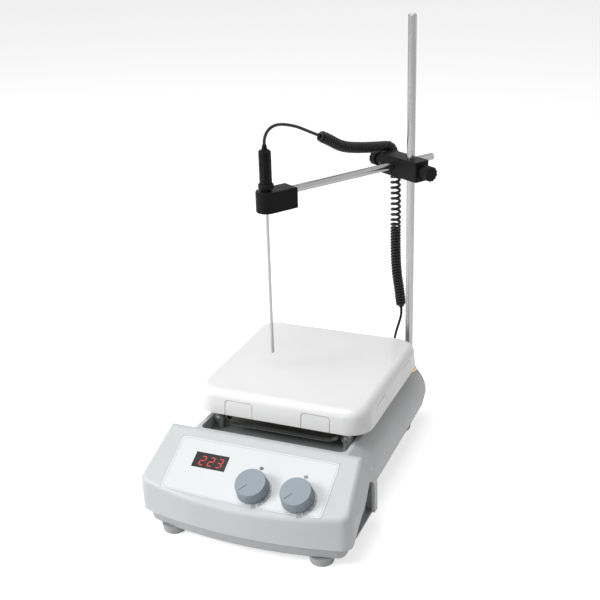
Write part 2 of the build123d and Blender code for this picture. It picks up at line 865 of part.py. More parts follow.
# Rear panel pieces
with BuildPart() as power_inlet:
    with BuildSketch(rear_panel):
        with Locations((-inlet_x, inlet_z)):
            RectangleRounded(*inlet_flange, 2)
    extrude(amount=2)
    with BuildSketch(rear_panel):
        with Locations((-inlet_x, inlet_z)):
            Rectangle(*inlet_cut)
    extrude(amount=-inlet_depth)
    with BuildSketch(rear_panel.offset(2)):
        with Locations((-inlet_x, inlet_z)):
            Rectangle(*inlet_recess)
    extrude(amount=-inlet_depth + 2, mode=Mode.SUBTRACT)
save(power_inlet, "power_inlet")

with BuildPart() as inlet_pins:
    with BuildSketch(rear_panel.offset(4 - inlet_depth)):
        with Locations((-inlet_x - 7, inlet_z - 2), (-inlet_x + 7, inlet_z - 2)):
            Rectangle(2, 4)
        with Locations((-inlet_x, inlet_z + 2)):
            Rectangle(2, 4)
    extrude(amount=11)
save(inlet_pins, "inlet_pins")

with BuildPart() as switch_frame:
    with BuildSketch(rear_panel):
        with Locations((-switch_x, inlet_z)):
            RectangleRounded(*switch_frame_size, 2)
    extrude(amount=2)
    with BuildSketch(rear_panel):
        with Locations((-switch_x, inlet_z)):
            Rectangle(*switch_cut)
    extrude(amount=-15)
    with BuildSketch(rear_panel.offset(2)):
        with Locations((-switch_x, inlet_z)):
            Rectangle(rocker_size[0] + 2, rocker_size[1] + 0.6)
    extrude(amount=-12, mode=Mode.SUBTRACT)
save(switch_frame, "switch_frame")

# The rocker: two faces at an angle about a pin across the frame
rock = radians(rocker_tilt)
rocker_plane = Plane(
    origin=rear_panel.from_local_coords((-switch_x, inlet_z - rocker_size[1] / 2, -1.0)),
    x_dir=(-cos(rock), -sin(rock), 0),
    z_dir=(0, 0, 1),
)
with BuildPart() as rocker:
    with BuildSketch(rocker_plane):
        half = rocker_size[0] / 2
        rise = half * tan(radians(rocker_tilt))
        with BuildLine():
            Polyline(
                (-half, -3 - rise), (0, -3), (half, -3 - rise), (half - 1, 4), (-half + 1, 4),
                close=True,
            )
        make_face()
    extrude(amount=rocker_size[1])
save(rocker, "rocker")

with BuildPart() as sensor_socket:
    with BuildSketch(rear_panel):
        with Locations((-socket_x, socket_z)):
            Circle(socket_radius)
    extrude(amount=2)
    with BuildSketch(rear_panel):
        with Locations((-socket_x, socket_z)):
            Circle(socket_radius - 2)
    extrude(amount=-12)
    with BuildSketch(rear_panel.offset(2)):
        with Locations((-socket_x, socket_z)):
            Circle(4)
    extrude(amount=-10, mode=Mode.SUBTRACT)
save(sensor_socket, "sensor_socket")

with BuildPart() as sensor_plug:
    with BuildSketch(rear_panel.offset(-6)):
        with Locations((-socket_x, socket_z)):
            Circle(4 - running)
    extrude(amount=8)
    with BuildSketch(rear_panel.offset(2)):
        with Locations((-socket_x, socket_z)):
            Circle(plug_radius)
    extrude(amount=plug_length)
    fillet(sensor_plug.edges().filter_by(GeomType.CIRCLE).sort_by(Axis.Y)[-1], 1.5)
    with BuildSketch(rear_panel.offset(2 + plug_length)):
        with Locations((-socket_x, socket_z)):
            Circle(3.5)
    extrude(amount=plug_boot_length, taper=4)
save(sensor_plug, "sensor_plug")

# Support rod in its bush
with BuildPart() as rod_bush:
    with BuildSketch(Plane.XY.offset(rod_shoulder_z - bush_flange)):
        with Locations((rod_x, rod_y)):
            Circle(bush_flange_radius)
    extrude(amount=bush_flange)
    with BuildSketch(Plane.XY.offset(rod_shoulder_z - bush_flange)):
        with Locations((rod_x, rod_y)):
            Circle(6)
    extrude(amount=rod_foot_z - rod_shoulder_z)
    with BuildSketch(Plane.XY.offset(rod_foot_z)):
        with Locations((rod_x, rod_y)):
            Circle(rod_spigot_radius + running)
    extrude(amount=40, mode=Mode.SUBTRACT)
save(rod_bush, "rod_bush")

with BuildPart() as support_rod:
    with BuildSketch(Plane.XY.offset(rod_shoulder_z)):
        with Locations((rod_x, rod_y)):
            Circle(rod_radius)
    extrude(amount=rod_top - rod_shoulder_z)
    chamfer(support_rod.edges().group_by(Axis.Z)[-1], 0.8)
    with BuildSketch(Plane.XY.offset(rod_foot_z + seat_gap)):
        with Locations((rod_x, rod_y)):
            Circle(rod_spigot_radius)
    extrude(amount=rod_shoulder_z - rod_foot_z - seat_gap)
save(support_rod, "support_rod")

# Boss head: the rod stands in one bore, the arm lies in the other
with BuildPart() as boss_head:
    with BuildSketch(clamp.offset(-boss_height / 2)):
        with Locations((0, (boss_right + boss_left) / 2)):
            RectangleRounded(2 * boss_half_depth, boss_left - boss_right, 1.5)
    extrude(amount=boss_height)
    with BuildSketch(clamp.offset(-boss_height / 2)):
        Circle(rod_radius + running)
    extrude(amount=boss_height, mode=Mode.SUBTRACT)
    with BuildSketch(arm_plane):
        Circle(arm_radius + running)
    extrude(amount=2 * boss_half_depth, both=True, mode=Mode.SUBTRACT)
    with BuildSketch(boss_right_face):
        Circle(thumb_stem_radius + running)
    extrude(amount=boss_right, mode=Mode.SUBTRACT)
    with BuildSketch(boss_left_face):
        Circle(thumb_stem_radius + running)
    extrude(amount=-(boss_left - arm_w), mode=Mode.SUBTRACT)
save(boss_head, "boss_head")


def thumbscrew(face, reach, neck):
    with BuildPart() as screw:
        with BuildSketch(face):
            Circle(thumb_stem_radius)
        extrude(amount=-reach)
        with BuildSketch(face.offset(seat_gap)):
            Circle(thumb_neck_radius)
        extrude(amount=neck - seat_gap)
        with BuildSketch(face):
            Circle(thumb_stem_radius)
        extrude(amount=seat_gap)
        with BuildSketch(face.offset(neck)):
            Circle(thumb_radius)
            with PolarLocations(thumb_radius + 0.5, 12):
                Circle(1.2, mode=Mode.SUBTRACT)
        extrude(amount=thumb_length)
    return screw


rod_thumbscrew = thumbscrew(boss_right_face, -boss_right - rod_radius - seat_gap, 6.0)
save(rod_thumbscrew, "rod_thumbscrew")
arm_thumbscrew = thumbscrew(
    boss_left_face, boss_left - arm_w - arm_radius - seat_gap, thumb_neck_length
)
save(arm_thumbscrew, "arm_thumbscrew")

with BuildPart() as arm_rod:
    with BuildSketch(arm_plane.offset(arm_front_t)):
        Circle(arm_radius)
    extrude(amount=arm_rear_t - arm_front_t)
    chamfer(arm_rod.edges().filter_by(GeomType.CIRCLE), 0.6)
save(arm_rod, "arm_rod")

# Holder: a block with a round nose that carries the probe upright
holder = Plane(
    origin=clamp.from_local_coords((probe_t, arm_w, holder_height / 2 - holder_drop)),
    x_dir=clamp.x_dir, z_dir=(0, 0, 1),
)
holder_top_z = clamp_z + holder_height / 2 - holder_drop
with BuildPart() as sensor_holder:
    with BuildSketch(holder):
        Circle(holder_half_width)
        with Locations(((holder_back_t - probe_t) / 2, 0)):
            Rectangle(holder_back_t - probe_t, 2 * holder_half_width)
    extrude(amount=-holder_height)
    fillet(sensor_holder.edges().group_by(Axis.Z)[0] + sensor_holder.edges().group_by(Axis.Z)[-1], 1)
    with BuildSketch(holder):
        Circle(needle_radius + running)
    extrude(amount=-holder_height, mode=Mode.SUBTRACT)
    with BuildSketch(arm_plane.offset(arm_front_t - seat_gap)):
        Circle(arm_radius + running)
    extrude(amount=60, mode=Mode.SUBTRACT)
save(sensor_holder, "sensor_holder")

with BuildPart() as probe_needle:
    with BuildSketch(holder.offset(-holder_top_z + needle_tip_z)):
        Circle(needle_radius)
    extrude(amount=holder_top_z - needle_tip_z + collar_height + 6)
    fillet(probe_needle.edges().group_by(Axis.Z)[0], 1.2)
save(probe_needle, "probe_needle")

with BuildPart() as probe_collar:
    with BuildSketch(holder.offset(seat_gap)):
        Circle(5.5)
        Circle(needle_radius, mode=Mode.SUBTRACT)
    extrude(amount=2)
    with BuildSketch(holder.offset(seat_gap + 2)):
        Circle(collar_radius)
        Circle(needle_radius, mode=Mode.SUBTRACT)
    extrude(amount=collar_height - 2)
    fillet(probe_collar.edges().filter_by(GeomType.CIRCLE).sort_by(SortBy.RADIUS)[-2:], 1.2)
save(probe_collar, "probe_collar")

handle_z = seat_gap + collar_height
with BuildPart() as probe_handle:
    with BuildSketch(holder.offset(handle_z)):
        RegularPolygon(handle_radius, 8, major_radius=False)
    extrude(amount=handle_length)
    chamfer(probe_handle.edges().group_by(Axis.Z)[-1], 1.5)
    with BuildSketch(holder.offset(handle_z)):
        Circle(needle_radius)
    extrude(amount=6, mode=Mode.SUBTRACT)
save(probe_handle, "probe_handle")

with BuildPart() as cord_boot:
    with BuildSketch(holder.offset(handle_z + handle_length)):
        Circle(boot_radius)
    extrude(amount=boot_length, taper=12)
save(cord_boot, "cord_boot")


# A cord stretch: straight runs joined by arcs as large as the runs allow
def cord_tube(name, points, radius):
    corners = [Vector(point) for point in points]
    radii = []
    for before, corner, after in zip(corners, corners[1:], corners[2:]):
        turn = radians((corner - before).get_angle(after - corner))
        shorter = min((corner - before).length, (after - corner).length)
        radii.append(0.45 * shorter / tan(turn / 2))
    with BuildPart() as tube:
        with BuildLine() as route:
            FilletPolyline(*corners, radius=radii)
        path = route.wires()[0]
        with BuildSketch(Plane(origin=path @ 0, z_dir=path % 0)):
            Circle(radius)
        sweep(path=path)
    ideal = pi * radius * radius * path.length
    print(name, "radii", [round(value, 1) for value in radii],
          "volume", round(tube.part.volume / ideal, 4))
    save(tube, name)


def between(start, end, share):
    return Vector(start) + (Vector(end) - Vector(start)) * share


probe_top = holder.from_local_coords((0, 0, handle_z + handle_length + boot_length))
over_front = clamp.from_local_coords((-6, coil_hang_w, 15.0))
over_back = clamp.from_local_coords((coil_hang_t - 1.0, coil_hang_w, 12.6))
coil_enter = (5.2, 49.5, 336.0)
cord_last = (-5.4, 26.6, 348.2)
coil_start = between(cord_last, coil_enter, 0.46)
hang_second = (47.0, 143.2, 243.0)
coil_split = between(over_back, hang_second, 0.42)
coil_last = (52.2, 143.0, 141.0)
cord_exit = (54.4, 143.4, 115.5)
coil_end = between(coil_last, cord_exit, 0.72)
plug_end = (socket_x, rear_y + 2 + plug_length + plug_boot_length, socket_z)

cord_tube("cord_probe", [
    probe_top, (probe_top.X, probe_top.Y, 356.5), (-24.0, -13.5, 364.2),
    (-13.5, 9.0, 357.8), cord_last, coil_start,
], cord_radius)
cord_tube("coil_over_arm", [
    coil_start, coil_enter, (11.5, 70.0, 323.5), (21.0, 96.0, 316.5),
    over_front, over_back, coil_split,
], coil_radius)
cord_tube("coil_hanging", [
    coil_split, hang_second, (46.4, 143.5, 200.0), (47.8, 143.2, 166.0), coil_last, coil_end,
], coil_radius)
cord_tube("cord_plug", [
    coil_end, cord_exit, (50.6, 144.6, 102.0), (45.0, 150.0, 86.0), (41.0, 159.0, 71.5),
    (38.8, 166.5, 57.0), (socket_x, plug_end[1] + 14, socket_z), plug_end,
], cord_radius)
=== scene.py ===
import math

import bpy
from mathutils import Matrix, Vector


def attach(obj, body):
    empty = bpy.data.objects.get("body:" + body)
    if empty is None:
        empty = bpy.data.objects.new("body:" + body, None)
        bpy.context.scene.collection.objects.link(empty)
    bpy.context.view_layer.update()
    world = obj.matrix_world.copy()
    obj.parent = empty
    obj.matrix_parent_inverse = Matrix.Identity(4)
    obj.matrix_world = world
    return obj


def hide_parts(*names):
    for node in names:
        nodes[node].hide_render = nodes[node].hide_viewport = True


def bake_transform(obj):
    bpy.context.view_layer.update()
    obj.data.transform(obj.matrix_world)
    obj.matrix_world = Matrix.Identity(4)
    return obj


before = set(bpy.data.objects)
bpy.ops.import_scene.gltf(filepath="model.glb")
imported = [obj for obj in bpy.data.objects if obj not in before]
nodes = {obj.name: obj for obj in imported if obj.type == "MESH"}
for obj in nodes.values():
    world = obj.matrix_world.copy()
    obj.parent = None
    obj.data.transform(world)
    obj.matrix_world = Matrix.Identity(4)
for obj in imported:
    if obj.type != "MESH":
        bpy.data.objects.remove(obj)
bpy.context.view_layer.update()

scene = bpy.context.scene
scene.view_settings.view_transform = "Standard"


# Camera, at the height of someone standing at the bench: angles in degrees, lens and sensor in millimetres
cameraSetup = {
    "place": (0.3842, -0.9384, 0.6013),
    "azimuth": 22.76,
    "elevation": 22.48,
    "roll": -1.74,
    "lens": 65.06,
    "sensor": 36,
    "farthest": 50,
}


def placeCamera(setup):
    a, e, r = (math.radians(setup[k]) for k in ("azimuth", "elevation", "roll"))
    back = Vector((math.sin(a) * math.cos(e), -math.cos(a) * math.cos(e), math.sin(e)))
    right = Vector((math.cos(a), math.sin(a), 0))
    up = back.cross(right)
    rightRolled = right * math.cos(r) + up * math.sin(r)
    upRolled = up * math.cos(r) - right * math.sin(r)
    bpy.ops.object.camera_add()
    cam = bpy.context.object
    turn = Matrix((rightRolled, upRolled, back)).transposed().to_4x4()
    cam.matrix_world = Matrix.Translation(setup["place"]) @ turn
    cam.data.sensor_width = setup["sensor"]
    cam.data.lens = setup["lens"]
    cam.data.clip_end = setup["farthest"]
    scene.camera = cam


placeCamera(cameraSetup)
print("camera placed")


# Small helpers for making pieces
def pick(obj):
    for other in bpy.context.selected_objects:
        other.select_set(False)
    obj.select_set(True)
    bpy.context.view_layer.objects.active = obj


def dress(obj, name, material):
    obj.name = name
    obj.data.name = name
    obj.data.materials.clear()
    obj.data.materials.append(material)
    return obj


# Shader groups shared by several finishes
groupOutputs = [("Colour", "NodeSocketColor"), ("Roughness", "NodeSocketFloat"), ("Height", "NodeSocketFloat")]


def newGroup(name, inputs, outputs):
    group = bpy.data.node_groups.new(name, "ShaderNodeTree")
    for label, kind, value in inputs:
        group.interface.new_socket(label, in_out="INPUT", socket_type=kind).default_value = value
    for label, kind in outputs:
        group.interface.new_socket(label, in_out="OUTPUT", socket_type=kind)
    return group, group.nodes.new("NodeGroupInput"), group.nodes.new("NodeGroupOutput")


def mixColours(n, link, amount, first, second):  # the colour sockets share their names, so they go by number
    mix = n.new("ShaderNodeMix")
    mix.data_type = "RGBA"
    link(amount, mix.inputs["Factor"])
    link(first, mix.inputs[6])
    link(second, mix.inputs[7])
    return mix.outputs[2]


def spreadRoughness(n, link, grain, given):  # the grain times its spread, on top of the roughness
    rough = n.new("ShaderNodeMath")
    rough.operation = "MULTIPLY_ADD"
    link(grain, rough.inputs[0])
    link(given.outputs["Spread"], rough.inputs[1])
    link(given.outputs["Roughness"], rough.inputs[2])
    return rough.outputs[0]


def sparkGroup():  # the fine even grain of a moulded or powder-coated skin
    group, given, out = newGroup(
        "sparkGrain",
        [("Colour", "NodeSocketColor", (0.5, 0.5, 0.5, 1)), ("Fleck", "NodeSocketColor", (0.45, 0.45, 0.45, 1)),
         ("Scale", "NodeSocketFloat", 1500), ("Roughness", "NodeSocketFloat", 0.5), ("Spread", "NodeSocketFloat", 0.1)],
        groupOutputs)
    n, link = group.nodes, group.links.new
    place = n.new("ShaderNodeTexCoord")
    grain = n.new("ShaderNodeTexNoise")
    grain.inputs["Detail"].default_value = 2
    cloud = n.new("ShaderNodeTexNoise")
    cloud.inputs["Scale"].default_value = 22
    cloud.inputs["Detail"].default_value = 3
    link(place.outputs["Object"], grain.inputs["Vector"])
    link(given.outputs["Scale"], grain.inputs["Scale"])
    link(place.outputs["Object"], cloud.inputs["Vector"])
    blotch = n.new("ShaderNodeMapRange")
    blotch.inputs["From Min"].default_value = 0.42
    blotch.inputs["From Max"].default_value = 0.72
    link(cloud.outputs["Fac"], blotch.inputs["Value"])
    shift = n.new("ShaderNodeMath")  # the grain's middle value goes to zero
    shift.operation = "SUBTRACT"
    shift.inputs[1].default_value = 0.5
    link(grain.outputs["Fac"], shift.inputs[0])
    colour = mixColours(n, link, blotch.outputs["Result"], given.outputs["Colour"], given.outputs["Fleck"])
    link(colour, out.inputs["Colour"])
    link(spreadRoughness(n, link, shift.outputs[0], given), out.inputs["Roughness"])
    link(grain.outputs["Fac"], out.inputs["Height"])
    return group


def drawnGroup():  # fine lines along a drawn or brushed metal part
    group, given, out = newGroup(
        "drawnLines",
        [("Colour", "NodeSocketColor", (0.6, 0.6, 0.6, 1)), ("Dull", "NodeSocketColor", (0.5, 0.5, 0.5, 1)),
         ("Stretch", "NodeSocketVector", (1, 1, 0.02)), ("Roughness", "NodeSocketFloat", 0.25),
         ("Spread", "NodeSocketFloat", 0.15)],
        groupOutputs)
    n, link = group.nodes, group.links.new
    place = n.new("ShaderNodeTexCoord")
    scaled = n.new("ShaderNodeVectorMath")
    scaled.operation = "MULTIPLY"
    lines = n.new("ShaderNodeTexNoise")
    lines.inputs["Scale"].default_value = 900
    lines.inputs["Detail"].default_value = 3
    link(place.outputs["Object"], scaled.inputs[0])
    link(given.outputs["Stretch"], scaled.inputs[1])
    link(scaled.outputs[0], lines.inputs["Vector"])
    colour = mixColours(n, link, lines.outputs["Fac"], given.outputs["Colour"], given.outputs["Dull"])
    link(colour, out.inputs["Colour"])
    link(spreadRoughness(n, link, lines.outputs["Fac"], given), out.inputs["Roughness"])
    link(lines.outputs["Fac"], out.inputs["Height"])
    return group


sparkGrain = sparkGroup()
drawnLines = drawnGroup()
bumpStrength = 0.6


# One finish: a shared effect with its own values, a plain shader, and a relief in metres
def finish(name, group, values, relief=0.0, **shader):
    material = bpy.data.materials.new(name)
    material.use_nodes = True
    n, link = material.node_tree.nodes, material.node_tree.links.new
    base = n["Principled BSDF"]
    for label, value in shader.items():
        base.inputs[label.replace("_", " ")].default_value = value
    effect = n.new("ShaderNodeGroup")
    effect.node_tree = group
    for label, value in values.items():
        effect.inputs[label].default_value = value
    link(effect.outputs["Colour"], base.inputs["Base Color"])
    link(effect.outputs["Roughness"], base.inputs["Roughness"])
    if relief:
        bump = n.new("ShaderNodeBump")
        bump.inputs["Distance"].default_value = relief
        bump.inputs["Strength"].default_value = bumpStrength
        link(effect.outputs["Height"], bump.inputs["Height"])
        link(bump.outputs["Normal"], base.inputs["Normal"])
    return material


def grained(name, colour, fleck, scale, roughness, spread, relief=0.0, **shader):
    values = {"Colour": colour, "Fleck": fleck, "Scale": scale, "Roughness": roughness, "Spread": spread}
    return finish(name, sparkGrain, values, relief, **shader)


def drawn(name, colour, dull, stretch, roughness, spread, relief):
    values = {"Colour": colour, "Dull": dull, "Stretch": (1, 1, stretch), "Roughness": roughness, "Spread": spread}
    return finish(name, drawnLines, values, relief, Metallic=1.0)


def grey(level, tint=(1, 1, 1)):
    return (level * tint[0], level * tint[1], level * tint[2], 1)


cool = (0.97, 1.0, 1.015)
finishes = {
    "housing_grey": grained("housingPlastic", grey(0.545, cool), grey(0.525, cool),
                            scale=1400, roughness=0.44, spread=0.16, relief=0.00006),
    "base_grey": grained("basePlastic", grey(0.42, cool), grey(0.4, cool),
                         scale=1200, roughness=0.5, spread=0.16, relief=0.00008),
    # the deck under the plate is given a dark grey, 0.22 against the housing's 0.545: painted shade of the plate above
    # it
    "deck_grey": grained("deckPaintedShade", grey(0.22, cool), grey(0.19, cool),
                         scale=1600, roughness=0.42, spread=0.2, relief=0.00006),
    "rubber": grained("footRubber", grey(0.4, cool), grey(0.36, cool),
                      scale=900, roughness=0.7, spread=0.2, relief=0.00008),
    "overlay_white": grained("overlayFilm", grey(0.68, cool), grey(0.665, cool),
                             scale=2600, roughness=0.36, spread=0.1, relief=0.00002),
    "window_black": grained("windowPane", grey(0.006), grey(0.009),
                            scale=500, roughness=0.16, spread=0.05),
    "module_black": grained("moduleResin", grey(0.02), grey(0.03),
                            scale=1200, roughness=0.5, spread=0.2, relief=0.00005),
    "knob_blue_grey": grained("knobPlastic", (0.24, 0.29, 0.33, 1), (0.222, 0.27, 0.308, 1),
                              scale=1700, roughness=0.46, spread=0.15, relief=0.00006),
    "indicator_grey": grained("indicatorLens", grey(0.12, cool), grey(0.1, cool),
                              scale=600, roughness=0.25, spread=0.08, Coat_Weight=0.3),
    "plate_white": grained("plateEnamel", grey(0.8), grey(0.78),
                           scale=420, roughness=0.3, spread=0.1, relief=0.00003, Coat_Weight=0.25),
    "steel_bright": drawn("drawnSteel", grey(0.44), grey(0.3),
                          stretch=0.03, roughness=0.16, spread=0.16, relief=0.00001),
    "steel_plain": drawn("plainSteel", grey(0.5), grey(0.36),
                         stretch=0.3, roughness=0.34, spread=0.15, relief=0.00002),
    "aluminium": grained("castAluminium", grey(0.62), grey(0.5),
                         scale=700, roughness=0.4, spread=0.2, relief=0.00006, Metallic=1.0),
    "board_green": grained("boardResist", (0.012, 0.12, 0.05, 1), (0.01, 0.09, 0.04, 1),
                           scale=900, roughness=0.35, spread=0.1, relief=0.00003),
    "black_plastic": grained("clampPlastic", grey(0.006), grey(0.009),
                             scale=1300, roughness=0.46, spread=0.2, relief=0.00005, Specular_IOR_Level=0.08),
    "black_cord": grained("cordSleeve", grey(0.007), grey(0.012),
                          scale=1800, roughness=0.42, spread=0.2, relief=0.00005, Specular_IOR_Level=0.25),
    "insulation_wool": grained("insulationWool", (0.74, 0.7, 0.6, 1), (0.6, 0.56, 0.46, 1),
                               scale=300, roughness=0.9, spread=0.1, relief=0.0006),
    "magnet_grey": grained("magnetNickel", grey(0.42), grey(0.3),
                           scale=500, roughness=0.3, spread=0.2, relief=0.00003, Metallic=1.0),
    "mica": grained("micaSheet", (0.5, 0.38, 0.22, 1), (0.36, 0.26, 0.14, 1),
                    scale=260, roughness=0.4, spread=0.3, relief=0.00008),
    "brass": drawn("turnedBrass", (0.72, 0.52, 0.22, 1), (0.5, 0.35, 0.13, 1),
                   stretch=0.2, roughness=0.25, spread=0.15, relief=0.00001),
    "transformer_yellow": grained("windingTape", (0.7, 0.48, 0.08, 1), (0.6, 0.4, 0.06, 1),
                                  scale=300, roughness=0.4, spread=0.2, relief=0.00005),
}
for node in nodes.values():
    for place in node.material_slots:
        place.material = finishes[place.material.name.split(".")[0]]
print("finishes on the frame's nodes")


# The probe's cord: a thin run, a curly run over the arm, a curly run that hangs and a thin tail to its plug
joinAt = {
    "curl": (-0.00052, 0.03713, 0.34259),
    "clamp": (0.04636, 0.14230, 0.2815),
    "tail": (0.05378, 0.14329, 0.12264),
}
cord = {
    "radius": 0.0015,
    "probe": [(-0.03014, -0.02654, 0.3467), (-0.03014, -0.02654, 0.3565), (-0.0240, -0.0135, 0.3642),
              (-0.0135, 0.0090, 0.3578), (-0.0054, 0.0266, 0.3482), joinAt["curl"]],
    "overArm": [joinAt["curl"], (0.0052, 0.0495, 0.3360), (0.0115, 0.0700, 0.3235), (0.0210, 0.0960, 0.3165),
                (0.03414, 0.12269, 0.3118), (0.04589, 0.14164, 0.3094), joinAt["clamp"]],
    "hanging": [joinAt["clamp"], (0.0470, 0.1432, 0.2430), (0.0464, 0.1435, 0.2000), (0.0478, 0.1432, 0.1660),
                (0.0522, 0.1430, 0.1410), joinAt["tail"]],
    "plug": [joinAt["tail"], (0.0544, 0.1434, 0.1155), (0.0506, 0.1446, 0.1020), (0.0450, 0.1500, 0.0860),
             (0.0410, 0.1590, 0.0715), (0.0388, 0.1665, 0.0570), (0.0380, 0.1620, 0.0440), (0.0380, 0.1480, 0.0440)],
    "coilRadius": 0.0045,
    "pointsPerTurn": 14,
    "fade": 0.006,
    # the rise of one turn, at shares of the way along
    "overArmPitch": [(0, 0.0034), (0.8, 0.0034), (1, 0.0055)],
    "hangingPitch": [(0, 0.0061), (0.34, 0.0061), (0.42, 0.0034), (1, 0.0032)],
}
fineness = {"fewPoints": 40, "stepsOfFew": 8, "stepsOfMany": 2, "round": 3}


def smoothCurve(name, points, thickness=0.0):
    data = bpy.data.curves.new(name, "CURVE")
    data.dimensions = "3D"
    line = data.splines.new("NURBS")
    line.points.add(len(points) - 1)
    for spot, point in zip(line.points, points):
        spot.co = (*point, 1)
    line.order_u = 3
    line.use_endpoint_u = True
    data.resolution_u = fineness["stepsOfFew"] if len(points) < fineness["fewPoints"] else fineness["stepsOfMany"]
    data.bevel_depth = thickness
    data.bevel_resolution = fineness["round"]
    data.use_fill_caps = True
    obj = bpy.data.objects.new(name, data)
    scene.collection.objects.link(obj)
    return obj


def routeOf(points):  # points along the smooth line that the route's points control
    guide = smoothCurve("guide", points)
    mesh = bpy.data.meshes.new_from_object(guide)
    line = [v.co.copy() for v in mesh.vertices]
    bpy.data.meshes.remove(mesh)
    bpy.data.curves.remove(guide.data)
    return line


def curlAlong(line, radius, pitches, fadeIn=0.0, fadeOut=0.0):
    lengths = [0.0]
    for a, b in zip(line, line[1:]):
        lengths.append(lengths[-1] + (b - a).length)
    total = lengths[-1]

    def at(along):
        i = max(1, next((k for k, v in enumerate(lengths) if v >= along), len(line) - 1))
        span = max(lengths[i] - lengths[i - 1], 1e-9)
        return line[i - 1].lerp(line[i], (along - lengths[i - 1]) / span), (line[i] - line[i - 1]).normalized()

    def pitchAt(share):
        for (s0, p0), (s1, p1) in zip(pitches, pitches[1:]):
            if share <= s1:
                return p0 + (p1 - p0) * (share - s0) / (s1 - s0)
        return pitches[-1][1]

    points, along, turned = [], 0.0, 0.0
    heading = at(0.0)[1]
    side = heading.orthogonal().normalized()
    while along < total:
        middle, newHeading = at(along)
        side = heading.rotation_difference(newHeading) @ side
        heading = newHeading
        other = heading.cross(side)
        risen = along / fadeIn if fadeIn else 1.0
        fallen = (total - along) / fadeOut if fadeOut else 1.0
        grown = min(1.0, risen, fallen)
        grown = grown * grown * (3 - 2 * grown)
        points.append(middle + (side * math.cos(turned) + other * math.sin(turned)) * radius * grown)
        turned += 2 * math.pi / cord["pointsPerTurn"]
        along += pitchAt(along / total) / cord["pointsPerTurn"]
    points.append(line[-1].copy())
    return points


def layCord(name, points, node):
    tube = smoothCurve(name, points, cord["radius"])
    middle = bpy.data.meshes.new_from_object(smoothCurve(name + "Line", points))
    bpy.data.curves.remove(bpy.data.objects[name + "Line"].data)
    bpy.data.meshes.remove(middle)
    pick(tube)
    bpy.ops.object.convert(target="MESH")
    tube = bpy.context.object
    dress(tube, name, finishes["black_cord"])
    bpy.ops.object.shade_smooth()
    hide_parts(node)
    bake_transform(tube)


layCord("probeCord", cord["probe"], "cord_probe")
overArm = curlAlong(routeOf(cord["overArm"]), cord["coilRadius"], cord["overArmPitch"], fadeIn=cord["fade"])
layCord("curlOverArm", overArm, "coil_over_arm")
hanging = curlAlong(routeOf(cord["hanging"]), cord["coilRadius"], cord["hangingPitch"], fadeOut=cord["fade"])
layCord("curlHanging", hanging, "coil_hanging")
layCord("plugCord", cord["plug"], "cord_plug")
print("cords laid")


# Front panel, laid out on the slope: x across, s up it, lift off it
panel = {"foot": (0.0, -0.1828, 0.0536), "tilt": 28.0, "film": 0.0002, "print": 0.00005}
panelPlace = Matrix.Translation(panel["foot"]) @ Matrix.Rotation(math.radians(panel["tilt"]), 4, "X")

ink = grained("printInk", grey(0.4, cool), grey(0.37, cool), scale=1500, roughness=0.4, spread=0.1)
darkInk = grained("darkInk", grey(0.06), grey(0.05), scale=1500, roughness=0.45, spread=0.1)
glow = grained("digitGlow", (0.5, 0.02, 0.01, 1), (0.45, 0.02, 0.01, 1), scale=900, roughness=0.4, spread=0.1,
               Emission_Color=(0.75, 0.03, 0.015, 1), Emission_Strength=0.55)


# Flat outlines on the panel, each a ring of (x, s), given a thickness
def meshFrom(name, outlines, thickness, material, lift):
    corners, faces = [], []
    for ring in outlines:
        faces.append(list(range(len(corners), len(corners) + len(ring))))
        corners += [(x, s, lift) for x, s in ring]
    mesh = bpy.data.meshes.new(name)
    mesh.from_pydata(corners, [], faces)
    obj = bpy.data.objects.new(name, mesh)
    scene.collection.objects.link(obj)
    pick(obj)
    bpy.ops.object.mode_set(mode="EDIT")
    bpy.ops.mesh.select_all(action="SELECT")
    bpy.ops.mesh.normals_make_consistent(inside=False)
    bpy.ops.mesh.extrude_region_move(TRANSFORM_OT_translate={"value": (0, 0, thickness)})
    bpy.ops.mesh.select_all(action="SELECT")
    bpy.ops.mesh.normals_make_consistent(inside=False)
    bpy.ops.object.mode_set(mode="OBJECT")
    obj.data.transform(panelPlace)
    return dress(obj, name, material)


# Red seven-segment digits on the pane
readout = {
    "text": "223",
    "centre": (-0.0418, 0.0348),
    "height": 0.0092,
    "width": 0.0047,
    "gap": 0.0042,
    "bar": 0.0009,
    "short": 0.00025,
    "slant": 0.14,
    "thick": 0.0001,
    "lift": 0.00002,
}
segmentsOf = {"2": "abged", "3": "abgcd"}


def segmentRings(setup):
    w, h, b = setup["width"] / 2, setup["height"] / 2, setup["bar"] / 2
    spots = {  # the middle of each bar, and 1 where it stands upright
        "a": (0, h, 0), "g": (0, 0, 0), "d": (0, -h, 0),
        "b": (w, h / 2, 1), "c": (w, -h / 2, 1), "e": (-w, -h / 2, 1),
    }
    rings = []
    step = setup["width"] + setup["gap"]
    first = -step * (len(setup["text"]) - 1) / 2
    for i, digit in enumerate(setup["text"]):
        for name in segmentsOf[digit]:
            cx, cs, upright = spots[name]
            half = (h / 2 if upright else w) - setup["short"]
            bar = [(-half, 0), (-half + b, b), (half - b, b), (half, 0), (half - b, -b), (-half + b, -b)]
            if upright:
                bar = [(-s, x) for x, s in bar]
            ring = [(first + i * step + cx + x + (cs + s) * setup["slant"], cs + s) for x, s in bar]
            rings.append([(setup["centre"][0] + x, setup["centre"][1] + s) for x, s in ring])
    return rings


digits = meshFrom("readoutDigits", segmentRings(readout), readout["thick"], glow, readout["lift"])
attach(digits, "base")

# The thin printed frame of the film
film = {
    "half": 0.0795,
    "low": 0.0012,
    "high": 0.0565,
    "bow": 0.003,
    "corner": 0.0035,
    "line": 0.0003,
    "edgeSteps": 24,
    "cornerSteps": 6,
}


